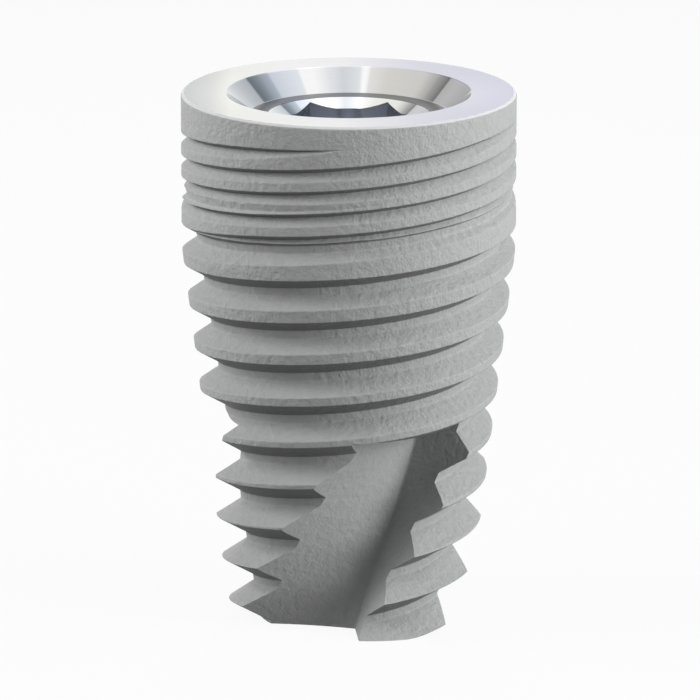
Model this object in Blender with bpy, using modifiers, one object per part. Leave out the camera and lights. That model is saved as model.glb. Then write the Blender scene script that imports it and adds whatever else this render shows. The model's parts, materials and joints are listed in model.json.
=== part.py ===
"""A one-piece dental implant: a tapered titanium screw with a hexagon socket in its head.

The implant stands on its flat apex. The origin is the centre of the apex and +Z runs up
the axis to the platform. Angles are measured from -Y towards +X, seen from above, and
the right-hand threads climb with them. Lengths are in metres.
"""

import math

import bmesh
import bpy

MM = 0.001

# Turned blank
PLATFORM_DIAMETER = 6.0 * MM
IMPLANT_LENGTH = 9.65 * MM
RIM_CHAMFER = 0.04 * MM
TAPER_TOP_HEIGHT = 6.88 * MM
APEX_CREST_DIAMETER = 4.35 * MM

# Main thread: two starts, right hand, a flat root on a tapered core
THREAD_LEAD = 1.6 * MM
THREAD_STARTS = 2
THREAD_PHASE_HEIGHT = 0.262 * MM
FLANK_TILT = math.radians(32.4)
ROOT_FLAT = 0.16 * MM
APEX_ROOT_DIAMETER = 3.264 * MM
ROOT_HALF_ANGLE = math.radians(8.81)
RUN_OUT_START_HEIGHT = 7.05 * MM
RUN_OUT_END_HEIGHT = 8.25 * MM

# Fine neck thread: four grooves of the same lead, each fading in and out
NECK_STARTS = 4
NECK_GROOVE_DEPTH = 0.165 * MM
NECK_UPPER_FLANK_TILT = math.radians(27.0)
NECK_LOWER_FLANK_TILT = math.radians(42.0)
NECK_PHASE_HEIGHT = 9.255 * MM
NECK_TOP_HEIGHT = 9.255 * MM
NECK_TOP_FADE = 0.18 * MM
NECK_END_HEIGHTS = (7.28 * MM, 7.60 * MM)
NECK_END_FADES = (0.22 * MM, 0.08 * MM)

# Cutting flutes
FLUTE_COUNT = 3
FLUTE_TOP_HEIGHT = 3.84 * MM
FLUTE_CORE_DIAMETER = 2.34 * MM
FLUTE_CORE_HALF_ANGLE = math.radians(3.7)
FLUTE_VALLEY_FILLET = 0.05 * MM
FLUTE_VALLEY_ANGLE = math.radians(5.6)
FLUTE_CUTTING_EDGE_ANGLE = math.radians(5.2)
FLUTE_APEX_WIDTH_ANGLE = math.radians(73.3)
FLUTE_TOP_WIDTH_ANGLE = math.radians(62.0)
FLUTE_TURN_PER_MM = math.radians(15.25)
FLUTE_APEX_HOLLOW = 0.10 * MM

# Socket in the platform
SOCKET_BEVEL_DIAMETER = 4.40 * MM
SOCKET_BEVEL_TILT = math.radians(45.0)
SOCKET_SEAT_OUTER_DIAMETER = 3.59 * MM
SOCKET_SEAT_INNER_DIAMETER = 2.93 * MM
SOCKET_LEAD_IN_TILT = math.radians(36.0)
HEXAGON_ACROSS_FLATS = 2.42 * MM
HEXAGON_RELIEF_DIAMETER = 2.46 * MM
HEXAGON_DEPTH = 2.0 * MM
SCREW_HOLE_DIAMETER = 1.80 * MM
SCREW_HOLE_DEPTH = 5.2 * MM
DRILL_POINT_ANGLE = math.radians(118.0)

# Smoothness of the faceted model
BLANK_SEGMENTS = 60
THREAD_SEGMENTS = 60
SOCKET_SEGMENTS = 48
HOLE_SEGMENTS = 32
FLUTE_LAYERS = 16
FLUTE_FACE_STEPS = 5
FILLET_POINTS = 3

# How far a cutter stands clear of the surface that it enters or leaves
CUTTER_MARGIN = 0.15 * MM

PLATFORM_RADIUS = PLATFORM_DIAMETER / 2
THREAD_PITCH = THREAD_LEAD / THREAD_STARTS
NECK_PITCH = THREAD_LEAD / NECK_STARTS


def clear_scene():
    """Remove every object that the file opened with."""
    for item in list(bpy.data.objects):
        bpy.data.objects.remove(item, do_unlink=True)


def new_collection(name):
    """Make a collection and hang it under the scene."""
    group = bpy.data.collections.new(name)
    bpy.context.scene.collection.children.link(group)
    return group


def metal(name, colour, roughness):
    """A plain titanium finish."""
    finish = bpy.data.materials.new(name)
    finish.use_nodes = True
    shader = finish.node_tree.nodes["Principled BSDF"]
    shader.inputs["Base Color"].default_value = (*colour, 1.0)
    shader.inputs["Roughness"].default_value = roughness
    shader.inputs["Metallic"].default_value = 1.0
    return finish


def mesh_object(name, mesh, group, finish):
    """Put a mesh into the scene as a named object with its finish."""
    item = bpy.data.objects.new(name, mesh)
    mesh.materials.append(finish)
    group.objects.link(item)
    return item


def turned(name, profile, segments, group, finish):
    """Turn a profile of (radius, height) points about Z with a Screw modifier.

    The profile runs from the axis at the top, down the outer side, to the axis below.
    """
    mesh = bpy.data.meshes.new(name)
    points = [(radius, 0.0, height) for radius, height in profile]
    edges = [(index, index + 1) for index in range(len(points) - 1)]
    mesh.from_pydata(points, edges, [])
    item = mesh_object(name, mesh, group, finish)
    screw = item.modifiers.new("Turn", "SCREW")
    screw.axis = "Z"
    screw.steps = segments
    screw.render_steps = segments
    screw.use_merge_vertices = True
    screw.merge_threshold = 1e-7
    return item


def at(radius, angle, height):
    """The point at a radius and height, turned from -Y towards +X by an angle."""
    return (radius * math.sin(angle), -radius * math.cos(angle), height)


def swept(name, sections, group, finish):
    """Join closed sections of equal length into one solid, with both ends capped."""
    shape = bmesh.new()
    rings = [[shape.verts.new(point) for point in section] for section in sections]
    count = len(rings[0])
    for lower, upper in zip(rings, rings[1:]):
        for index in range(count):
            after = (index + 1) % count
            shape.faces.new((lower[index], lower[after], upper[after], upper[index]))
    shape.faces.new(rings[0])
    shape.faces.new(rings[-1])
    bmesh.ops.recalc_face_normals(shape, faces=shape.faces)
    mesh = bpy.data.meshes.new(name)
    shape.to_mesh(mesh)
    shape.free()
    return mesh_object(name, mesh, group, finish)


def crest_radius(height):
    """Radius of the tapered outside, which the flat thread crests keep."""
    apex = APEX_CREST_DIAMETER / 2
    share = min(height / TAPER_TOP_HEIGHT, 1.0)
    return apex + (PLATFORM_RADIUS - apex) * share


def root_radius(height):
    """Radius at the thread's root: the tapered core, then the run-out to the surface."""
    slope = math.tan(ROOT_HALF_ANGLE)
    if height <= RUN_OUT_START_HEIGHT:
        return APEX_ROOT_DIAMETER / 2 + slope * height
    start = APEX_ROOT_DIAMETER / 2 + slope * RUN_OUT_START_HEIGHT
    share = (height - RUN_OUT_START_HEIGHT) / (RUN_OUT_END_HEIGHT - RUN_OUT_START_HEIGHT)
    return start + (PLATFORM_RADIUS - start) * share


def neck_radius(height, end_height, end_fade):
    """Radius at a neck groove's root, which rises to the surface at both of its ends."""
    top = (NECK_TOP_HEIGHT - height) / NECK_TOP_FADE
    bottom = (height - end_height) / end_fade
    return PLATFORM_RADIUS - NECK_GROOVE_DEPTH * min(top, bottom, 1.0)


def helix_sections(phase_height, lowest, highest, outline):
    """Sections along a helix of the thread's lead, from one height to another.

    phase_height is the helix's height at angle 0. outline(height) gives the section's
    (radius, height) points. The steps fall between the blank's own, so that no edge
    of a cutter lies along an edge of the blank.
    """
    rise = THREAD_LEAD / THREAD_SEGMENTS
    first = math.ceil((lowest - phase_height) / rise)
    last = math.floor((highest - phase_height) / rise)
    sections = []
    for step in range(first, last + 1):
        turn = (step + 0.5) / THREAD_SEGMENTS
        centre = phase_height + THREAD_LEAD * turn
        angle = 2 * math.pi * turn
        sections.append([at(radius, angle, height) for radius, height in outline(centre)])
    return sections


def thread_outline(centre):
    """Section of the main groove: a flat root between two tilted flanks."""
    lower = centre - ROOT_FLAT / 2
    upper = centre + ROOT_FLAT / 2
    outside = crest_radius(centre) + CUTTER_MARGIN
    slope = math.tan(FLANK_TILT)
    lower_reach = (outside - root_radius(lower)) * slope
    upper_reach = (outside - root_radius(upper)) * slope
    return [
        (root_radius(lower), lower),
        (root_radius(upper), upper),
        (outside, upper + upper_reach),
        (outside, lower - lower_reach),
    ]


def thread_cutter(start, group, finish):
    """One start of the main thread, from below the apex to its run-out at the neck."""
    phase = THREAD_PHASE_HEIGHT + start * THREAD_PITCH
    lowest = -THREAD_PITCH
    highest = RUN_OUT_END_HEIGHT + ROOT_FLAT
    sections = helix_sections(phase, lowest, highest, thread_outline)
    return swept(f"thread_cutter_{start + 1}", sections, group, finish)


def neck_cutter(start, group, finish):
    """One groove of the fine neck thread: a V that fades in above and out below."""
    phase = NECK_PHASE_HEIGHT - start * NECK_PITCH
    end_height = NECK_END_HEIGHTS[start % 2]
    end_fade = NECK_END_FADES[start % 2]

    def outline(centre):
        root = neck_radius(centre, end_height, end_fade)
        outside = PLATFORM_RADIUS + CUTTER_MARGIN
        reach = outside - root
        return [
            (root, centre),
            (outside, centre + reach * math.tan(NECK_UPPER_FLANK_TILT)),
            (outside, centre - reach * math.tan(NECK_LOWER_FLANK_TILT)),
        ]

    margin = THREAD_LEAD / THREAD_SEGMENTS
    sections = helix_sections(phase, end_height - margin, NECK_TOP_HEIGHT + margin, outline)
    return swept(f"neck_cutter_{start + 1}", sections, group, finish)


def flute_section(height, turn):
    """Section across a flute: a near-radial cutting face and a broad, hollow clearing face.

    The two faces meet in a filleted valley on the flute's core. The hollow is deepest half
    way across the clearing face, and shrinks to nothing from the apex to the flute's top.
    """
    share = height / FLUTE_TOP_HEIGHT
    width = FLUTE_APEX_WIDTH_ANGLE + (FLUTE_TOP_WIDTH_ANGLE - FLUTE_APEX_WIDTH_ANGLE) * share
    twist = turn + FLUTE_TURN_PER_MM * height / MM
    core = FLUTE_CORE_DIAMETER / 2 + math.tan(FLUTE_CORE_HALF_ANGLE) * height
    crest = crest_radius(height)
    valley = complex(*at(core, twist + FLUTE_VALLEY_ANGLE, height)[:2])
    cutting = complex(*at(crest, twist + FLUTE_CUTTING_EDGE_ANGLE, height)[:2])
    clearing = complex(*at(crest, twist + FLUTE_CUTTING_EDGE_ANGLE - width, height)[:2])
    to_cutting = (cutting - valley) / abs(cutting - valley)
    across = clearing - valley
    inwards = across / abs(across) * complex(0, -1)
    bulge = 4 * FLUTE_APEX_HOLLOW * (1 - share) * inwards
    to_clearing = (across + bulge) / abs(across + bulge)
    outwards = (across - bulge) / abs(across - bulge)
    reach = PLATFORM_DIAMETER
    points = [valley + reach * to_cutting, clearing + reach * outwards]
    for step in range(FLUTE_FACE_STEPS, 0, -1):
        way = step / FLUTE_FACE_STEPS
        points.append(valley + across * way + bulge * way * (1 - way))
    points += valley_fillet(valley, to_clearing, to_cutting)
    return [(point.real, point.imag, height) for point in points]


def valley_fillet(valley, first_way, second_way):
    """Points of the arc that is tangent to both faces of a flute at its valley."""
    half_angle = abs(turn_between(first_way, second_way)) / 2
    bisector = (first_way + second_way) / abs(first_way + second_way)
    centre = valley + bisector * FLUTE_VALLEY_FILLET / math.sin(half_angle)
    tangent = FLUTE_VALLEY_FILLET / math.tan(half_angle)
    begin = valley + first_way * tangent - centre
    end = valley + second_way * tangent - centre
    sweep = turn_between(begin, end)
    points = []
    for index in range(FILLET_POINTS):
        angle = sweep * index / (FILLET_POINTS - 1)
        points.append(centre + begin * complex(math.cos(angle), math.sin(angle)))
    return points


def turn_between(first, second):
    """Signed angle from one plane direction to another, both as complex numbers."""
    ratio = second / first
    return math.atan2(ratio.imag, ratio.real)


def flute_cutter(index, group, finish):
    """One helical flute, open at the apex and ending square below the neck."""
    turn = 2 * math.pi * index / FLUTE_COUNT
    lowest = -CUTTER_MARGIN
    sections = []
    for layer in range(FLUTE_LAYERS + 1):
        height = lowest + (FLUTE_TOP_HEIGHT - lowest) * layer / FLUTE_LAYERS
        sections.append(flute_section(height, turn))
    return swept(f"flute_cutter_{index + 1}", sections, group, finish)


def socket_mouth_cutter(group, finish):
    """The turned mouth of the socket: bevel, flat seat, lead-in and hexagon relief."""
    bevel_radius = SOCKET_BEVEL_DIAMETER / 2
    seat_outer = SOCKET_SEAT_OUTER_DIAMETER / 2
    seat_inner = SOCKET_SEAT_INNER_DIAMETER / 2
    relief = HEXAGON_RELIEF_DIAMETER / 2
    seat_height = IMPLANT_LENGTH - (bevel_radius - seat_outer) * math.tan(SOCKET_BEVEL_TILT)
    relief_height = seat_height - (seat_inner - relief) * math.tan(SOCKET_LEAD_IN_TILT)
    above = CUTTER_MARGIN / math.tan(SOCKET_BEVEL_TILT)
    profile = [
        (0.0, IMPLANT_LENGTH + CUTTER_MARGIN),
        (bevel_radius + above, IMPLANT_LENGTH + CUTTER_MARGIN),
        (seat_outer, seat_height),
        (seat_inner, seat_height),
        (relief, relief_height),
        (relief, IMPLANT_LENGTH - HEXAGON_DEPTH),
        (0.0, IMPLANT_LENGTH - HEXAGON_DEPTH),
    ]
    return turned("socket_mouth_cutter", profile, SOCKET_SEGMENTS, group, finish)


def hexagon_cutter(group, finish):
    """The hexagon, with two of its corners on the X axis, from above the seat down."""
    corner_radius = HEXAGON_ACROSS_FLATS / 2 / math.cos(math.pi / 6)
    top = IMPLANT_LENGTH
    bottom = IMPLANT_LENGTH - HEXAGON_DEPTH
    ends = []
    for height in (bottom, top):
        ends.append([at(corner_radius, math.pi / 6 + math.pi / 3 * side, height) for side in range(6)])
    return swept("hexagon_cutter", ends, group, finish)


def screw_hole_cutter(group, finish):
    """The drilled hole for the abutment screw, with its drill point."""
    radius = SCREW_HOLE_DIAMETER / 2
    shoulder = IMPLANT_LENGTH - SCREW_HOLE_DEPTH
    point = radius / math.tan(DRILL_POINT_ANGLE / 2)
    profile = [
        (0.0, IMPLANT_LENGTH),
        (radius, IMPLANT_LENGTH),
        (radius, shoulder),
        (0.0, shoulder - point),
    ]
    return turned("screw_hole_cutter", profile, HOLE_SEGMENTS, group, finish)


def turned_blank(group, finish):
    """The bar before threading: chamfered rim, straight neck, taper and flat apex."""
    profile = [
        (0.0, IMPLANT_LENGTH),
        (PLATFORM_RADIUS - RIM_CHAMFER, IMPLANT_LENGTH),
        (PLATFORM_RADIUS, IMPLANT_LENGTH - RIM_CHAMFER),
        (PLATFORM_RADIUS, TAPER_TOP_HEIGHT),
        (APEX_CREST_DIAMETER / 2, 0.0),
        (0.0, 0.0),
    ]
    return turned("implant_body", profile, BLANK_SEGMENTS, group, finish)


def cut(item, group):
    """Take every cutter in a group away from an object in one exact difference."""
    for cutter in group.objects:
        cutter.hide_render = True
        cutter.display_type = "WIRE"
    difference = item.modifiers.new("Cut", "BOOLEAN")
    difference.operation = "DIFFERENCE"
    difference.solver = "EXACT"
    difference.material_mode = "TRANSFER"
    difference.operand_type = "COLLECTION"
    difference.collection = group


def main():
    clear_scene()
    parts = new_collection("dental_implant")
    cutters = new_collection("cutters")
    blasted = metal("blasted_titanium", (0.42, 0.43, 0.43), 0.62)
    polished = metal("polished_titanium", (0.72, 0.72, 0.74), 0.18)

    body = turned_blank(parts, blasted)
    for start in range(THREAD_STARTS):
        thread_cutter(start, cutters, blasted)
    for start in range(NECK_STARTS):
        neck_cutter(start, cutters, blasted)
    for index in range(FLUTE_COUNT):
        flute_cutter(index, cutters, blasted)
    socket_mouth_cutter(cutters, polished)
    hexagon_cutter(cutters, polished)
    screw_hole_cutter(cutters, polished)
    cut(body, cutters)


main()
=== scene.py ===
"""Looks of the dental implant: its fine threaded surface, finishes, light and camera.

Lengths are in metres unless a name says otherwise. Angles are measured from -Y towards +X,
seen from above, as the right-hand threads climb.
"""

import json
import math

import bmesh
import bpy
import numpy as np
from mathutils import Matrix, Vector

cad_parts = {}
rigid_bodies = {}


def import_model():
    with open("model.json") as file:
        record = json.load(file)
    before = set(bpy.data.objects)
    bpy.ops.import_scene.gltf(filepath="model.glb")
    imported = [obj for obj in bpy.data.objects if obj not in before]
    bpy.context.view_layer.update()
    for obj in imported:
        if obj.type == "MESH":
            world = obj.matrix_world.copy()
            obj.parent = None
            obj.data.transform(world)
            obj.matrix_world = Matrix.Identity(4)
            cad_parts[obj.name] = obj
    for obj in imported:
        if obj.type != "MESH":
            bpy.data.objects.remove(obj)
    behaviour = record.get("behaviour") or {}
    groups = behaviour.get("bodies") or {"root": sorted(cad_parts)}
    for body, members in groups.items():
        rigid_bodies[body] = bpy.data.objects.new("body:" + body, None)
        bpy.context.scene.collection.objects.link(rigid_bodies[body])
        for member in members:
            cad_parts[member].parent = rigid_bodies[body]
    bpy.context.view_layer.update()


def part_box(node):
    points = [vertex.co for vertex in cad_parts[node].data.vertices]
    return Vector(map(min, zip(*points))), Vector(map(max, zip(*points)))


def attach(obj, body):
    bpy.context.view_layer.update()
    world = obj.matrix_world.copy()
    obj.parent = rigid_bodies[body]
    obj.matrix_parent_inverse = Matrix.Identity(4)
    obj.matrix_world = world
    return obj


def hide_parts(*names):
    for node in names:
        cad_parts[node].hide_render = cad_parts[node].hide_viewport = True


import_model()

MM = 0.001
FULL_TURN = 2 * math.pi
body_low, body_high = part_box("implant_body")

# Turned outside
PLATFORM_RADIUS = (body_high[0] - body_low[0]) / 2
IMPLANT_LENGTH = body_high[2]
TAPER_TOP_HEIGHT = 6.88 * MM
APEX_CREST_RADIUS = 2.175 * MM
RIM_CHAMFER = 0.045 * MM

# Main thread
THREAD_LEAD = 1.6 * MM
THREAD_PITCH = THREAD_LEAD / 2
THREAD_PHASE_HEIGHT = 0.262 * MM
FLANK_SLOPE = 1 / math.tan(math.radians(32.4))
ROOT_FLAT = 0.16 * MM
APEX_ROOT_RADIUS = 1.632 * MM
ROOT_SLOPE = math.tan(math.radians(8.81))
RUN_OUT_START_HEIGHT = 7.05 * MM
RUN_OUT_END_HEIGHT = 8.25 * MM
CREST_ROUNDING = 0.01 * MM
ROOT_ROUNDING = 0.03 * MM

# Fine neck thread
NECK_PITCH = THREAD_LEAD / 4
NECK_GROOVE_DEPTH = 0.165 * MM
NECK_UPPER_SLOPE = 1 / math.tan(math.radians(27.0))
NECK_LOWER_SLOPE = 1 / math.tan(math.radians(42.0))
NECK_PHASE_HEIGHT = 9.255 * MM
NECK_TOP_HEIGHT = 9.255 * MM
NECK_TOP_FADE = 0.18 * MM
NECK_END_HEIGHTS = (7.28 * MM, 7.60 * MM)
NECK_END_FADES = (0.22 * MM, 0.08 * MM)
NECK_ROUNDING = 0.008 * MM

# Cutting flutes
FLUTE_COUNT = 3
FLUTE_TOP_HEIGHT = 3.84 * MM
FLUTE_CORE_RADIUS = 1.17 * MM
FLUTE_CORE_SLOPE = math.tan(math.radians(3.7))
FLUTE_VALLEY_FILLET = 0.05 * MM
FLUTE_VALLEY_ANGLE = math.radians(5.6)
FLUTE_CUTTING_EDGE_ANGLE = math.radians(5.2)
FLUTE_APEX_WIDTH = math.radians(73.3)
FLUTE_TOP_WIDTH = math.radians(62.0)
FLUTE_TURN_PER_METRE = math.radians(15.25) / MM
FLUTE_APEX_HOLLOW = 0.10 * MM

# Socket
BEVEL_OUTER_RADIUS = 2.20 * MM
SEAT_OUTER_RADIUS = 1.795 * MM
SEAT_INNER_RADIUS = 1.465 * MM
SEAT_DEPTH = BEVEL_OUTER_RADIUS - SEAT_OUTER_RADIUS
LEAD_IN_SLOPE = math.tan(math.radians(36.0))
HEXAGON_INNER_RADIUS = 1.21 * MM
HEXAGON_RELIEF_RADIUS = 1.23 * MM
HEXAGON_DEPTH = 2.0 * MM
SCREW_HOLE_RADIUS = 0.90 * MM
SCREW_HOLE_DEPTH = 5.2 * MM
DRILL_POINT_SLOPE = 1 / math.tan(math.radians(59.0))

# Fineness of the surface
COLUMNS = 120
ROWS_PER_LEAD = 128
THREAD_TOP_HEIGHT = 9.32 * MM
RIM_FILLET = 0.015 * MM
EDGE_FILLET = 0.02 * MM
EDGE_POINTS = 5
LEAD_IN_START = 0.02 * MM
LEAD_IN_ROWS = 6
HOLE_MOUTH_RISE = 0.1 * MM
WALL_ROWS = 8
FLUTE_WALL_STEPS = 8
FLUTE_FILLET_STEPS = 7
FLUTE_LAYERS = 60
FLUTE_OVERRUN = 0.3 * MM
CREASE_LIMIT = math.radians(62.0)
SOCKET_CREASE_LIMIT = math.radians(8.0)
WELD_DISTANCE = 1e-8
SPLIT_HEIGHT = 3.9 * MM

# Material slots; the lid is a helper face that goes before the piece is finished
BLASTED, RIM, PLATFORM, BEVEL, SEAT, LEAD_IN, SOCKET, FLUTE, LID = range(9)

# Camera, fitted to the photograph
IMAGE_WIDTH_PIXELS = 700
FOCAL_LENGTH_PIXELS = 7103.8
SENSOR_WIDTH_MM = 36.0
CAMERA_DISTANCE = 128.0 * MM
CAMERA_ELEVATION = math.radians(14.262)
CAMERA_TARGET_X = 0.0216 * MM
CAMERA_TARGET_HEIGHT = 4.889 * MM
CAMERA_CLIP = (1 * MM, 10.0)

# Finishes
BLASTED_GREY = (0.335, 0.338, 0.338)
BLASTED_SPECULAR = 0.3
BLASTED_SHADE = 0.9
BLASTED_MOTTLE = 0.16
BLASTED_ROUGHNESS_SPREAD = 0.1
COARSE_GRAIN = 0.13 * MM
FINE_GRAIN = 0.045 * MM
FINE_GRAIN_SHARE = 0.4
# Heights of the normal over which the painted shade on downward faces fades in
UNDERSIDE_EDGES = (-0.75, -0.35)
NOISE_DETAIL = 2.0
TOOL_MARK_WIDTH = 0.03 * MM
TOOL_MARK_DEPTH = 0.08
TURNED_ROUGHNESS_SPREAD = 0.02
ALONG_TOOL_CIRCLES = 0.25
# The platform's painted reflections, as shares of the way from its left side to its right
PAINTED_PLATFORM_REFLECTIONS = (
    (0.0, (0.42, 0.44, 0.44)), (0.08, (0.58, 0.59, 0.58)), (0.15, (0.85, 0.85, 0.80)),
    (0.3, (0.88, 0.88, 0.87)), (0.48, (0.87, 0.87, 0.87)), (0.7, (0.66, 0.66, 0.75)),
    (1.0, (0.53, 0.52, 0.67)),
)

# Stage
FLOOR_SIZE = 0.6
FLOOR_GREY = 0.04
FLOOR_GLOW = 0.8
FLOOR_BOUNCE = 0.126
WORLD_GREY = 0.108
BACKGROUND_WHITE = 0.957

# The room that metal reflects
SCREEN_WHITE = 1.05
SCREEN_EDGES = (0.24, 0.28)
FAN_CENTRE = 0.969
# Its panels, as degrees across the fan and the colour there: a grey wall,
# a dark gap, a warm panel, a strip light, a cool panel, a wide light, a blue panel, a dark
# gap and a grey wall
PANELS = (
    (-90, 0.48, 0.48, 0.48), (-66, 0.68, 0.68, 0.68), (-57.6, 0.64, 0.64, 0.64),
    (-57, 0.22, 0.22, 0.22), (-52, 0.42, 0.42, 0.42),
    (-40, 0.88, 0.87, 0.83), (-20, 0.95, 0.94, 0.89), (-9.5, 1.13, 1.12, 1.10),
    (-9, 1.42, 1.42, 1.42), (-7, 1.42, 1.42, 1.42),
    (-6.3, 1.10, 1.13, 1.15), (3, 0.93, 0.96, 1.01),
    (18, 1.38, 1.38, 1.38), (24.5, 1.38, 1.38, 1.38),
    (25.3, 1.10, 1.14, 1.22), (41.5, 0.85, 0.91, 1.03),
    (42.3, 0.60, 0.68, 0.77), (54, 0.24, 0.28, 0.32), (57.6, 0.22, 0.26, 0.30),
    (58.3, 0.60, 0.65, 0.70), (90, 1.05, 1.06, 1.08),
)
# Each soft box's name, angle and elevation in degrees, size and radiance
LAMP_DISTANCE = 60 * MM
SOFT_BOXES = (
    ("left_box", -90.0, 35.0, 30 * MM, 8.4),
    ("low_left_box", -90.0, 12.0, 30 * MM, 4.2),
    ("front_left_box", -60.0, 30.0, 30 * MM, 2.7),
    ("front_right_box", 60.0, 30.0, 30 * MM, 2.5),
    ("low_right_box", 60.0, 12.0, 30 * MM, 11.6),
    ("right_box", 90.0, 35.0, 30 * MM, 5.6),
    ("back_box", 180.0, 35.0, 30 * MM, 4.0),
)


def crest_radius(height):
    """Radius of the outside: a cone from the apex crests to the straight neck."""
    share = np.minimum(height / TAPER_TOP_HEIGHT, 1.0)
    return APEX_CREST_RADIUS + (PLATFORM_RADIUS - APEX_CREST_RADIUS) * share


def root_radius(height):
    """Radius at the main thread's root: a cone, then a straight run-out to the outside."""
    cone = APEX_ROOT_RADIUS + ROOT_SLOPE * np.minimum(height, RUN_OUT_START_HEIGHT)
    start = APEX_ROOT_RADIUS + ROOT_SLOPE * RUN_OUT_START_HEIGHT
    share = (height - RUN_OUT_START_HEIGHT) / (RUN_OUT_END_HEIGHT - RUN_OUT_START_HEIGHT)
    return cone + (PLATFORM_RADIUS - start) * np.maximum(share, 0.0)


def soft_minimum(first, second, rounding):
    """The smaller of two values, with the corner where they cross rounded off."""
    overlap = np.maximum(rounding - np.abs(first - second), 0.0) / rounding
    return np.minimum(first, second) - overlap * overlap * rounding / 4


def thread_radius(angle, height):
    """Main thread: the root's radius plus the flank's slope times the way past the root flat.

    The way is measured along the axis from the nearest groove's centre, which climbs by the
    lead in each turn.
    """
    climb = THREAD_PHASE_HEIGHT + THREAD_LEAD * angle / FULL_TURN
    offset = np.mod(height - climb + THREAD_PITCH / 2, THREAD_PITCH) - THREAD_PITCH / 2
    past_root = np.abs(offset) - ROOT_FLAT / 2
    rise = -soft_minimum(-past_root * FLANK_SLOPE, np.zeros_like(past_root), ROOT_ROUNDING)
    return root_radius(height) + rise


def neck_radius(angle, height):
    """Neck grooves: a V about the nearest groove's centre, whose depth fades at both ends."""
    climb = NECK_PHASE_HEIGHT + THREAD_LEAD * angle / FULL_TURN
    turn = np.round((height - climb) / NECK_PITCH)
    centre = climb + turn * NECK_PITCH
    odd = np.mod(turn, 2) == 1
    end_height = np.where(odd, NECK_END_HEIGHTS[1], NECK_END_HEIGHTS[0])
    end_fade = np.where(odd, NECK_END_FADES[1], NECK_END_FADES[0])
    top = (NECK_TOP_HEIGHT - centre) / NECK_TOP_FADE
    bottom = (centre - end_height) / end_fade
    depth = NECK_GROOVE_DEPTH * np.minimum(np.minimum(top, bottom), 1.0)
    offset = height - centre
    rise = np.maximum(offset * NECK_UPPER_SLOPE, -offset * NECK_LOWER_SLOPE)
    return PLATFORM_RADIUS - depth + rise


def outside_radius(angle, height):
    """The whole outside: the least of the cone, the main thread and the neck grooves."""
    radius = soft_minimum(crest_radius(height), thread_radius(angle, height), CREST_ROUNDING)
    return soft_minimum(radius, neck_radius(angle, height), NECK_ROUNDING)


def hexagon_radius(angle):
    """Distance from the axis to the hexagon's wall, relieved by a slightly wider bore."""
    sixth = FULL_TURN / 6
    from_flat = np.mod(angle + sixth / 2, sixth) - sixth / 2
    return np.maximum(HEXAGON_INNER_RADIUS / np.cos(from_flat), HEXAGON_RELIEF_RADIUS)


def snapped_angles(angles):
    """The columns' angles, with the nearest ones moved to the edges of the hexagon's relief."""
    sixth = FULL_TURN / 6
    from_flat = np.mod(angles + sixth / 2, sixth) - sixth / 2
    edge = np.sign(from_flat) * math.acos(HEXAGON_INNER_RADIUS / HEXAGON_RELIEF_RADIUS)
    near = np.abs(from_flat - edge) <= FULL_TURN / COLUMNS / 2
    return np.where(near & (from_flat != 0), angles + edge - from_flat, angles)


def stretch(start, end, count):
    """Values from start to end, without the start, in equal steps."""
    return list(np.linspace(start, end, count + 1)[1:])


def rounded_profile(corners, fillets, points):
    """A profile of (radius, height) corners with each inner corner replaced by a short curve.

    The curve is the quadratic one whose middle control point is the corner.
    """
    result = [corners[0]]
    for before, corner, after, fillet in zip(corners, corners[1:], corners[2:], fillets):
        back = Vector(before) - Vector(corner)
        ahead = Vector(after) - Vector(corner)
        reach = min(fillet, back.length / 2, ahead.length / 2)
        begin = Vector(corner) + back.normalized() * reach
        end = Vector(corner) + ahead.normalized() * reach
        for share in np.linspace(0.0, 1.0, points):
            middle_1 = begin.lerp(Vector(corner), share)
            middle_2 = Vector(corner).lerp(end, share)
            result.append(tuple(middle_1.lerp(middle_2, share)))
    result.append(corners[-1])
    return result


def helical_rows(angles, low, high):
    """Heights of a threaded stretch's grid, whose rows climb with the thread.

    Row j at angle a lies j steps above one lead below the low edge, plus the lead times the
    turn's share. Heights past either edge are held there, so that those rows close up into
    the two level edges.
    """
    step = THREAD_LEAD / ROWS_PER_LEAD
    count = math.ceil((high - low) / step) + ROWS_PER_LEAD + 1
    rows = low + (np.arange(count) - ROWS_PER_LEAD) * step
    heights = rows[:, None] + THREAD_LEAD * angles[None, :] / FULL_TURN
    return np.clip(heights, low, high)


def place(radius, angle, height):
    """Points at a radius and height, turned from -Y towards +X by an angle."""
    return np.stack([radius * np.sin(angle), -radius * np.cos(angle), height], axis=-1)


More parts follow.
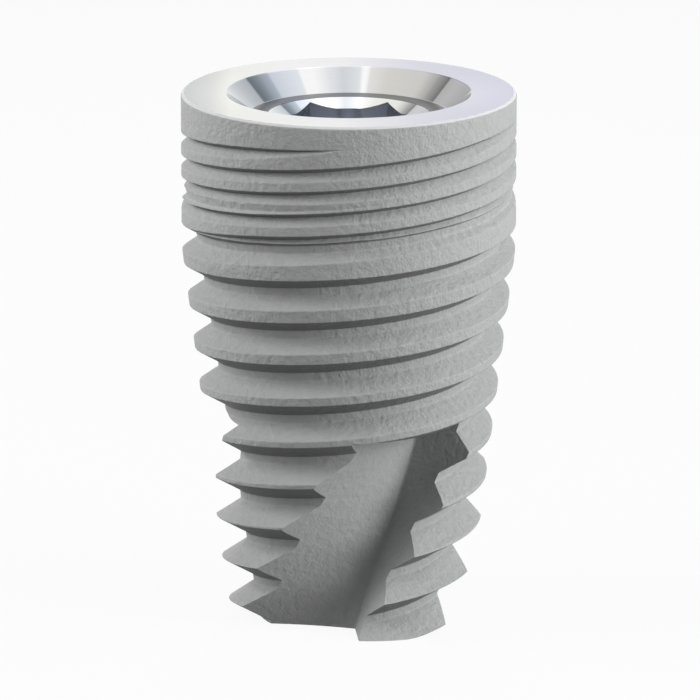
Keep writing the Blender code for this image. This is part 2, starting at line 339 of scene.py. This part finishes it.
def head_rings(angles):
    """Radius and height of each ring of the head, from the collar up and down into the socket.

    Every ring is level and round, except where the lead-in cone meets the hexagon: there the
    ring follows the hexagon, and its height is that of the cone at the hexagon's radius. The
    screw hole's mouth is a short cone. The second result is the finish of the band that ends
    at each ring.
    """
    top = IMPLANT_LENGTH
    seat = top - SEAT_DEPTH
    outer = [
        (PLATFORM_RADIUS, THREAD_TOP_HEIGHT),
        (PLATFORM_RADIUS, top - RIM_CHAMFER),
        (PLATFORM_RADIUS - RIM_CHAMFER, top),
        (BEVEL_OUTER_RADIUS, top),
        (SEAT_OUTER_RADIUS, seat),
        (SEAT_INNER_RADIUS, seat),
        (SEAT_INNER_RADIUS - LEAD_IN_START, seat - LEAD_IN_START * LEAD_IN_SLOPE),
    ]
    fillets = (RIM_FILLET, RIM_FILLET, EDGE_FILLET, EDGE_FILLET, EDGE_FILLET)
    rings = []
    for radius, height in rounded_profile(outer, fillets, EDGE_POINTS)[1:]:
        rings.append((np.full_like(angles, radius), np.full_like(angles, height)))
    slots = list(np.repeat([BLASTED, RIM, PLATFORM, BEVEL, SEAT], EDGE_POINTS)) + [LEAD_IN]
    hexagon = hexagon_radius(angles)
    cone_start, cone_height = rings[-1]
    for share in stretch(0.0, 1.0, LEAD_IN_ROWS):
        radius = cone_start + (hexagon - cone_start) * share
        rings.append((radius, cone_height - (cone_start - radius) * LEAD_IN_SLOPE))
    hexagon_floor = top - HEXAGON_DEPTH
    hexagon_top = rings[-1][1]
    slots += [LEAD_IN] * LEAD_IN_ROWS
    for share in stretch(0.0, 1.0, WALL_ROWS):
        rings.append((hexagon, hexagon_top + (hexagon_floor - hexagon_top) * share))
    hole = np.full_like(angles, SCREW_HOLE_RADIUS)
    rings.append(((hexagon + hole) / 2, np.full_like(angles, hexagon_floor)))
    for height in stretch(hexagon_floor + HOLE_MOUTH_RISE, top - SCREW_HOLE_DEPTH, WALL_ROWS):
        rings.append((hole, np.full_like(angles, height)))
    slots += [SOCKET] * (len(rings) - len(slots) + 1)
    return rings, slots


def threaded_stretch(angles, low, high):
    """The threaded outside between two heights: its points, its quads and its two edges.

    The rows meet themselves one lead higher after a turn. Each edge is a closed loop of
    point numbers, one for each column.
    """
    heights = helical_rows(angles, low, high)
    points = place(outside_radius(angles[None, :], heights), angles[None, :], heights)
    count = len(heights)
    lowest = (heights <= low).sum(axis=0) - 1
    highest = count - (heights >= high).sum(axis=0)
    row, column = np.meshgrid(np.arange(count), np.arange(COLUMNS + 1), indexing="ij")
    past_seam = column == COLUMNS
    row = row + ROWS_PER_LEAD * past_seam
    column = np.where(past_seam, 0, column)
    row = np.clip(row, lowest[column], highest[column])
    ids = row * COLUMNS + column
    return points.reshape(-1, 3), strip_quads(ids), ids[0], ids[-1]


def strip_quads(ids):
    """Quads between neighbouring rows of a grid of point numbers, outwards when rows go up."""
    quads = np.stack([ids[:-1, :-1], ids[:-1, 1:], ids[1:, 1:], ids[1:, :-1]], axis=-1)
    return quads.reshape(-1, 4)


def fan_quads(loop, middle):
    """Faces that join a closed loop of point numbers to a middle point."""
    return strip_quads(np.stack([loop, np.full(len(loop), middle)]))


def lower_mesh(angles):
    """The fluted stretch before its flutes are cut, closed by a flat face at either end."""
    points, sides, bottom, top = threaded_stretch(angles, 0.0, SPLIT_HEIGHT)
    made = len(points)
    points = np.concatenate([points, [(0.0, 0.0, 0.0), (0.0, 0.0, SPLIT_HEIGHT)]])
    apex = fan_quads(bottom[::-1], made)
    lid = fan_quads(top, made + 1)
    slots = np.repeat([BLASTED, LID], [len(sides) + len(apex), len(lid)])
    return mesh_from_quads("lower", points, np.concatenate([sides, apex, lid]), slots)


def upper_mesh(angles):
    """The rest of the thread, the head and the socket, open below."""
    points, sides, _, loop = threaded_stretch(angles, SPLIT_HEIGHT, THREAD_TOP_HEIGHT)
    head_angles = snapped_angles(angles)
    rings, ring_slots = head_rings(head_angles)
    made = len(points)
    ring_ids = made + np.arange(len(rings))[:, None] * COLUMNS + np.arange(COLUMNS)
    ring_ids = np.concatenate([ring_ids, ring_ids[:, :1]], axis=1)
    ring_points = [place(radius, head_angles, height) for radius, height in rings]
    head = strip_quads(np.concatenate([loop[None, :], ring_ids]))
    drill_point = IMPLANT_LENGTH - SCREW_HOLE_DEPTH - SCREW_HOLE_RADIUS / DRILL_POINT_SLOPE
    points = np.concatenate([points, *ring_points, [(0.0, 0.0, drill_point)]])
    tip = fan_quads(ring_ids[-1], len(points) - 1)
    slots = np.concatenate([np.full(len(sides), BLASTED), np.repeat(ring_slots, COLUMNS)])
    return mesh_from_quads("upper", points, np.concatenate([sides, head, tip]), slots)


def mesh_from_quads(name, points, quads, slots):
    """A mesh from quads, where a quad with a repeated corner becomes a triangle or nothing."""
    after = np.roll(quads, -1, axis=1)
    kept = quads != after
    sizes = kept.sum(axis=1)
    whole = sizes >= 3
    quads, kept, sizes, slots = quads[whole], kept[whole], sizes[whole], slots[whole]
    corners = quads[kept]
    used, corners = np.unique(corners, return_inverse=True)
    mesh = bpy.data.meshes.new(name)
    mesh.vertices.add(len(used))
    mesh.vertices.foreach_set("co", points[used].ravel())
    mesh.loops.add(len(corners))
    mesh.loops.foreach_set("vertex_index", corners)
    mesh.polygons.add(len(sizes))
    mesh.polygons.foreach_set("loop_start", np.cumsum(sizes) - sizes)
    mesh.polygons.foreach_set("material_index", slots)
    mesh.update(calc_edges=True)
    return mesh


def flute_sections(heights, turn):
    """Sections across a flute at some heights: two faces that meet in a small fillet.

    The cutting face is nearly radial. The clearing face runs from the valley to the crest
    at the flute's other edge, and is hollow: its depth below the straight line goes as the
    way across times the way left, and shrinks from the apex up. Both faces are carried on
    past the outside.
    """
    way_up = heights / FLUTE_TOP_HEIGHT
    width = FLUTE_APEX_WIDTH + (FLUTE_TOP_WIDTH - FLUTE_APEX_WIDTH) * way_up
    twist = turn + FLUTE_TURN_PER_METRE * heights
    core = FLUTE_CORE_RADIUS + FLUTE_CORE_SLOPE * heights
    crest = crest_radius(heights)
    valley = level_point(core, twist + FLUTE_VALLEY_ANGLE)
    to_cutting = level_point(crest, twist + FLUTE_CUTTING_EDGE_ANGLE) - valley
    to_cutting /= np.abs(to_cutting)
    face = level_point(crest, twist + FLUTE_CUTTING_EDGE_ANGLE - width) - valley
    hollow = 4 * FLUTE_APEX_HOLLOW * np.clip(1 - way_up, 0.0, 1.0) * -1j * face / np.abs(face)
    to_clearing = (face + hollow) / np.abs(face + hollow)
    outwards = (face - hollow) / np.abs(face - hollow)
    half_angle = np.angle(to_cutting / to_clearing) / 2
    bisector = to_cutting + to_clearing
    bisector /= np.abs(bisector)
    centre = valley + bisector * FLUTE_VALLEY_FILLET / np.sin(np.abs(half_angle))
    tangent = FLUTE_VALLEY_FILLET / np.tan(np.abs(half_angle))
    begin = valley + to_clearing * tangent
    end = valley + to_cutting * tangent
    sweep = np.angle((begin - centre) / (end - centre))
    reach = 2 * PLATFORM_RADIUS
    points = []
    for share in np.linspace(1.0, 0.0, FLUTE_WALL_STEPS)[:-1]:
        points.append(end + to_cutting * reach * share)
    for share in np.linspace(0.0, 1.0, FLUTE_FILLET_STEPS):
        points.append(centre + (end - centre) * np.exp(1j * sweep * share))
    for share in np.linspace(0.0, 1.0, FLUTE_WALL_STEPS)[1:]:
        points.append(valley + face * share + hollow * share * (1 - share))
    points.append(valley + face + outwards * reach)
    flat = np.stack(points, axis=1)
    level = np.broadcast_to(heights[:, None], flat.shape)
    return np.stack([flat.real, flat.imag, level], axis=-1)


def level_point(radius, angle):
    """A point of a level plane as a complex number, turned from -Y towards +X."""
    return radius * np.sin(angle) - 1j * radius * np.cos(angle)


def flute_mesh(turn):
    """One flute's cutter: its sections in a grid, closed by a flat face at either end."""
    heights = np.linspace(-FLUTE_OVERRUN, FLUTE_TOP_HEIGHT, FLUTE_LAYERS)
    sections = flute_sections(heights, turn)
    layers, around = sections.shape[:2]
    ids = np.arange(layers * around).reshape(layers, around)
    ids = np.concatenate([ids, ids[:, :1]], axis=1)
    faces = strip_quads(ids).tolist()
    faces += [ids[0, -2::-1].tolist(), ids[-1, :-1].tolist()]
    mesh = bpy.data.meshes.new("flute")
    mesh.from_pydata(sections.reshape(-1, 3).tolist(), [], faces)
    return mesh


def mark_creases(mesh):
    """Smooth shading with a sharp edge where finishes meet or faces turn more than a limit.

    The limit is less in the hexagon. Each edge's two faces are found from the loops that run
    along it.
    """
    edge_count = len(mesh.edges)
    loop_edges = np.zeros(len(mesh.loops), dtype=np.int32)
    mesh.loops.foreach_get("edge_index", loop_edges)
    sizes = np.zeros(len(mesh.polygons), dtype=np.int32)
    mesh.polygons.foreach_get("loop_total", sizes)
    normals = np.zeros(len(mesh.polygons) * 3, dtype=np.float32)
    mesh.polygons.foreach_get("normal", normals)
    slots = np.zeros(len(mesh.polygons), dtype=np.int32)
    mesh.polygons.foreach_get("material_index", slots)
    loop_faces = np.repeat(np.arange(len(sizes)), sizes)
    order = np.argsort(loop_edges, kind="stable")
    first = np.zeros(edge_count, dtype=np.int64)
    second = np.zeros(edge_count, dtype=np.int64)
    first[loop_edges[order[::-1]]] = loop_faces[order[::-1]]
    second[loop_edges[order]] = loop_faces[order]
    normals = normals.reshape(-1, 3)
    cosine = (normals[first] * normals[second]).sum(axis=1)
    limits = np.where(slots[first] == SOCKET, SOCKET_CREASE_LIMIT, CREASE_LIMIT)
    sharp = (cosine < np.cos(limits)) | (slots[first] != slots[second])
    mesh.shade_smooth()
    creases = mesh.attributes.get("sharp_edge")
    creases = creases or mesh.attributes.new("sharp_edge", "BOOLEAN", "EDGE")
    creases.data.foreach_set("value", sharp)


def cut_flutes(mesh, finish):
    """A copy of the lower stretch's mesh with every flute cut away in one difference."""
    body = bpy.data.objects.new("lower", mesh)
    bpy.context.scene.collection.objects.link(body)
    cutters = bpy.data.collections.new("flute_cutters")
    bpy.context.scene.collection.children.link(cutters)
    for index in range(FLUTE_COUNT):
        cutter = bpy.data.objects.new("flute", flute_mesh(FULL_TURN * index / FLUTE_COUNT))
        cutter.data.materials.append(finish)
        cutters.objects.link(cutter)
    cut = body.modifiers.new("Flutes", "BOOLEAN")
    cut.operation = "DIFFERENCE"
    cut.solver = "EXACT"
    cut.material_mode = "TRANSFER"
    cut.operand_type = "COLLECTION"
    cut.collection = cutters
    evaluated = body.evaluated_get(bpy.context.evaluated_depsgraph_get())
    fluted = bpy.data.meshes.new_from_object(evaluated)
    for spent in [*cutters.objects, body]:
        bpy.data.objects.remove(spent)
    bpy.data.collections.remove(cutters)
    return fluted


def make_implant(finishes):
    """The finished implant: its fluted stretch, joined to the rest where the lid was."""
    angles = FULL_TURN * np.arange(COLUMNS) / COLUMNS
    lower = lower_mesh(angles)
    upper = upper_mesh(angles)
    for finish in finishes:
        lower.materials.append(finish)
        upper.materials.append(finish)
    fluted = cut_flutes(lower, finishes[FLUTE])
    shape = bmesh.new()
    shape.from_mesh(fluted)
    lids = [face for face in shape.faces if face.material_index == LID]
    bmesh.ops.delete(shape, geom=lids, context="FACES")
    shape.from_mesh(upper)
    bmesh.ops.remove_doubles(shape, verts=shape.verts, dist=WELD_DISTANCE)
    shape.to_mesh(upper)
    shape.free()
    upper.materials.pop(index=LID)
    mark_creases(upper)
    implant = bpy.data.objects.new("implant", upper)
    bpy.context.scene.collection.objects.link(implant)
    return implant


class Wire:
    """A shader socket that takes part in Python arithmetic, adding Math nodes as it goes."""

    def __init__(self, finish, socket):
        self.finish = finish
        self.socket = socket

    def maths(self, operation, *values):
        inputs = dict(enumerate(values))
        return self.finish.node("ShaderNodeMath", inputs, operation=operation)

    def __add__(self, other):
        return self.maths("ADD", self, other)

    def __radd__(self, other):
        return self.maths("ADD", other, self)

    def __sub__(self, other):
        return self.maths("SUBTRACT", self, other)

    def __rsub__(self, other):
        return self.maths("SUBTRACT", other, self)

    def __mul__(self, other):
        return self.maths("MULTIPLY", self, other)

    def __rmul__(self, other):
        return self.maths("MULTIPLY", other, self)

    def __truediv__(self, other):
        return self.maths("DIVIDE", self, other)


class Studio:
    """A node tree under construction, here the world's."""

    def __init__(self, owner):
        self.nodes = owner.node_tree.nodes
        self.links = owner.node_tree.links

    def node(self, kind, inputs, output=0, **settings):
        """Add a node: its settings first, then the values or wires of its sockets."""
        made = self.nodes.new(kind)
        for name, value in settings.items():
            if name == "stops":
                self.set_stops(made.color_ramp, value)
            else:
                setattr(made, name, value)
        for name, value in inputs.items():
            self.feed(made.inputs[name], value)
        return Wire(self, made.outputs[output])

    def set_stops(self, ramp, stops):
        """Give a ramp its stops, each a position and a colour."""
        while len(ramp.elements) > 1:
            ramp.elements.remove(ramp.elements[-1])
        for index, (position, colour) in enumerate(stops):
            stop = ramp.elements[0] if index == 0 else ramp.elements.new(position)
            stop.position = position
            stop.color = (*colour, 1.0)

    def feed(self, socket, value):
        if isinstance(value, Wire):
            self.links.new(value.socket, socket)
        else:
            socket.default_value = value

    def mix(self, factor, first, second):
        """A colour between two, by a factor from 0 to 1."""
        inputs = {"Factor": factor, 6: first, 7: second}
        return self.node("ShaderNodeMix", inputs, output=2, data_type="RGBA")

    def split(self, vector):
        """The three numbers of a vector."""
        outputs = self.node("ShaderNodeSeparateXYZ", {0: vector}).socket.node.outputs
        return [Wire(self, output) for output in outputs]

    def rays(self):
        """Whether a ray comes from the camera, and whether it was mirrored or let through."""
        outputs = self.node("ShaderNodeLightPath", {}).socket.node.outputs
        camera, glossy, through = (
            Wire(self, outputs[kind])
            for kind in ("Is Camera Ray", "Is Glossy Ray", "Is Transmission Ray")
        )
        return camera, glossy.maths("MAXIMUM", glossy, through)

    def smooth(self, value, edges):
        """A smooth step from 0 at the first edge to 1 at the second."""
        inputs = {"Value": value, "From Min": edges[0], "From Max": edges[1]}
        return self.node("ShaderNodeMapRange", inputs, interpolation_type="SMOOTHSTEP")


class Finish(Studio):
    """A material under construction on its Principled shader."""

    def __init__(self, name):
        self.material = bpy.data.materials.new(name)
        self.material.use_nodes = True
        super().__init__(self.material)
        self.shader = self.nodes["Principled BSDF"]

    def wear(self, **sockets):
        """Feed the shader's sockets, named with underscores for spaces."""
        for name, value in sockets.items():
            self.feed(self.shader.inputs[name.replace("_", " ").title()], value)
        return self.material

    def noise(self, size, roughness=0.5, at=None):
        """Noise whose grains are about a given size across, in metres."""
        if at is None:
            at = self.here()
        inputs = {"Vector": at, "Scale": 1 / size, "Detail": NOISE_DETAIL, "Roughness": roughness}
        return self.node("ShaderNodeTexNoise", inputs, noise_dimensions="3D")

    def here(self):
        return self.node("ShaderNodeTexCoord", {}, output="Object")


def blasted_finish(name, colour, roughness, grain_height, painted_underside_shade):
    """Grit-blasted, etched titanium: an even matt grey with a fine leathery grain.

    The undersides of the threads are darker by a given share: painted shade under the crests.
    """
    finish = Finish(name)
    # Painted shade: the colour darkens where the surface faces down, under the thread crests
    facing = finish.split(finish.node("ShaderNodeTexCoord", {}, output="Normal"))[2]
    painted_shade = finish.smooth(facing, UNDERSIDE_EDGES) * (1 - painted_underside_shade) + painted_underside_shade
    coarse = finish.noise(COARSE_GRAIN)
    fine = finish.noise(FINE_GRAIN)
    grain = coarse + fine * FINE_GRAIN_SHARE
    relief = {"Height": grain, "Strength": 1.0, "Distance": grain_height}
    bump = finish.node("ShaderNodeBump", relief)
    shade = (BLASTED_SHADE + coarse * BLASTED_MOTTLE) * painted_shade
    tint = finish.mix(shade, (0.0, 0.0, 0.0, 1.0), (*colour, 1.0))
    finish.feed(finish.shader.inputs["Specular IOR Level"], BLASTED_SPECULAR)
    etched = roughness + fine * BLASTED_ROUGHNESS_SPREAD
    return finish.wear(base_color=tint, roughness=etched, metallic=0.0, normal=bump)


def turned_finish(name, colour, roughness, anisotropic):
    """Turned titanium: bright metal, smooth along the tool's circles and rougher across them.

    The colour is one for the whole surface, or stops from the left side to the right that are
    painted reflections. Faint tool marks follow the radius and the height.
    """
    finish = Finish(name)
    across, depth, up = finish.split(finish.here())
    # Colour stops from the left side to the right are painted reflections
    if isinstance(colour[0], tuple):
        side = across / (2 * PLATFORM_RADIUS) + 0.5
        colour = finish.node("ShaderNodeValToRGB", {0: side}, stops=colour)
    else:
        colour = (*colour, 1.0)
    radius = across.maths("SQRT", across * across + depth * depth)
    section = finish.node("ShaderNodeCombineXYZ", {0: radius, 2: up})
    marks = finish.noise(TOOL_MARK_WIDTH, roughness=0.6, at=section)
    dimmed = finish.mix(marks * TOOL_MARK_DEPTH, colour, (0.0, 0.0, 0.0, 1.0))
    marked = roughness + marks * TURNED_ROUGHNESS_SPREAD
    finish.wear(base_color=dimmed, roughness=marked, metallic=1.0)
    return finish.wear(anisotropic=anisotropic, anisotropic_rotation=ALONG_TOOL_CIRCLES)


def make_camera():
    """The photograph's viewpoint: a long lens that looks down on the implant."""
    target = Vector((CAMERA_TARGET_X, 0.0, CAMERA_TARGET_HEIGHT))
    back = Vector((0.0, -math.cos(CAMERA_ELEVATION), math.sin(CAMERA_ELEVATION)))
    data = bpy.data.cameras.new("camera")
    data.sensor_width = SENSOR_WIDTH_MM
    data.lens = FOCAL_LENGTH_PIXELS * SENSOR_WIDTH_MM / IMAGE_WIDTH_PIXELS
    data.clip_start, data.clip_end = CAMERA_CLIP
    camera = bpy.data.objects.new("camera", data)
    camera.location = target + back * CAMERA_DISTANCE
    camera.rotation_euler = (-back).to_track_quat("-Z", "Y").to_euler()
    bpy.context.scene.collection.objects.link(camera)
    bpy.context.scene.camera = camera


def make_floor():
    """A pale floor that the camera sees as near white, and that keeps the object's shadow."""
    half = FLOOR_SIZE / 2
    corners = [(-half, -half, 0.0), (half, -half, 0.0), (half, half, 0.0), (-half, half, 0.0)]
    mesh = bpy.data.meshes.new("floor")
    mesh.from_pydata(corners, [], [(0, 1, 2, 3)])
    finish = Finish("floor_paint")
    camera, mirrored = finish.rays()
    seen = camera.maths("MAXIMUM", camera, mirrored)
    finish.wear(base_color=(FLOOR_GREY, FLOOR_GREY, FLOOR_GREY, 1.0), roughness=1.0)
    finish.feed(finish.shader.inputs["Specular IOR Level"], 0.0)
    finish.feed(finish.shader.inputs["Emission Color"], (1.0, 1.0, 1.0, 1.0))
    finish.feed(finish.shader.inputs["Emission Strength"], seen * FLOOR_GLOW + FLOOR_BOUNCE)
    mesh.materials.append(finish.material)
    floor = bpy.data.objects.new("floor", mesh)
    bpy.context.scene.collection.objects.link(floor)


def make_world():
    """The studio: near white to the camera, faint to matt surfaces, a lit room to metal.

    Metal sees a round white screen behind the implant, and panels that fan out from the
    screen's centre over the ceiling. A direction's place in the fan is the angle of its
    sideways part over its way forward from the centre.
    """
    world = bpy.data.worlds.new("studio")
    world.use_nodes = True
    studio = Studio(world)
    way = studio.node("ShaderNodeTexCoord", {}, output="Generated")
    across, depth, _ = studio.split(way)
    forward = FAN_CENTRE - depth
    fan = across.maths("ARCTAN2", across, forward) / math.pi + 0.5
    stops = [(angle / 180 + 0.5, colour) for angle, *colour in PANELS]
    panels = studio.node("ShaderNodeValToRGB", {0: fan}, stops=stops)
    way_out = across.maths("SQRT", across * across + forward * forward)
    past_screen = studio.smooth(way_out, SCREEN_EDGES)
    room = studio.mix(past_screen, (SCREEN_WHITE, SCREEN_WHITE, SCREEN_WHITE, 1.0), panels)
    camera, mirrored = studio.rays()
    faint = (WORLD_GREY, WORLD_GREY, WORLD_GREY, 1.0)
    seen = studio.mix(mirrored, faint, room)
    seen = studio.mix(camera, seen, (BACKGROUND_WHITE, BACKGROUND_WHITE, BACKGROUND_WHITE, 1.0))
    studio.feed(studio.nodes["Background"].inputs["Color"], seen)
    bpy.context.scene.world = world


def soft_box(name, angle, elevation, distance, size, radiance):
    """A square lamp that faces the middle of the implant, of a given radiance."""
    data = bpy.data.lights.new(name, "AREA")
    data.shape = "SQUARE"
    data.size = size
    data.energy = radiance * math.pi * size * size
    lamp = bpy.data.objects.new(name, data)
    level = distance * math.cos(elevation)
    centre = Vector((0.0, 0.0, IMPLANT_LENGTH / 2))
    rise = distance * math.sin(elevation)
    offset = Vector((level * math.sin(angle), -level * math.cos(angle), rise))
    lamp.location = centre + offset
    lamp.rotation_euler = (-offset).to_track_quat("-Z", "Y").to_euler()
    lamp.visible_glossy = False
    bpy.context.scene.collection.objects.link(lamp)


def main():
    bpy.context.scene.view_settings.view_transform = "Standard"
    make_camera()
    make_world()
    make_floor()
    for name, angle, elevation, size, radiance in SOFT_BOXES:
        soft_box(name, math.radians(angle), math.radians(elevation), LAMP_DISTANCE, size, radiance)
    finishes = [
        # The body's thread undersides get painted shade, half their colour
        blasted_finish("blasted_titanium", BLASTED_GREY, 0.6, 0.03 * MM, 0.5),
        # The rim's lighter grey is a painted highlight on the chamfer; its finer grain and lower
        # roughness are the finish
        blasted_finish("fine_rim_painted_highlight", (0.56, 0.56, 0.57), 0.45, 0.006 * MM, 1.0),
        # The platform's colours from left to right are painted reflections
        turned_finish("turned_platform", PAINTED_PLATFORM_REFLECTIONS, 0.15, 1.0),
        turned_finish("turned_bevel", (0.70, 0.70, 0.70), 0.11, 1.0),
        turned_finish("turned_seat", (0.25, 0.25, 0.26), 0.25, 1.0),
        turned_finish("turned_lead_in", (0.94, 0.94, 0.94), 0.11, 1.0),
        turned_finish("broached_hexagon", (0.80, 0.82, 0.87), 0.2, 0.0),
        blasted_finish("blasted_flute", BLASTED_GREY, 0.6, 0.023 * MM, 1.0),
        bpy.data.materials.new("lid"),
    ]
    implant = make_implant(finishes)
    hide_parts("implant_body")
    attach(implant, "root")


main()
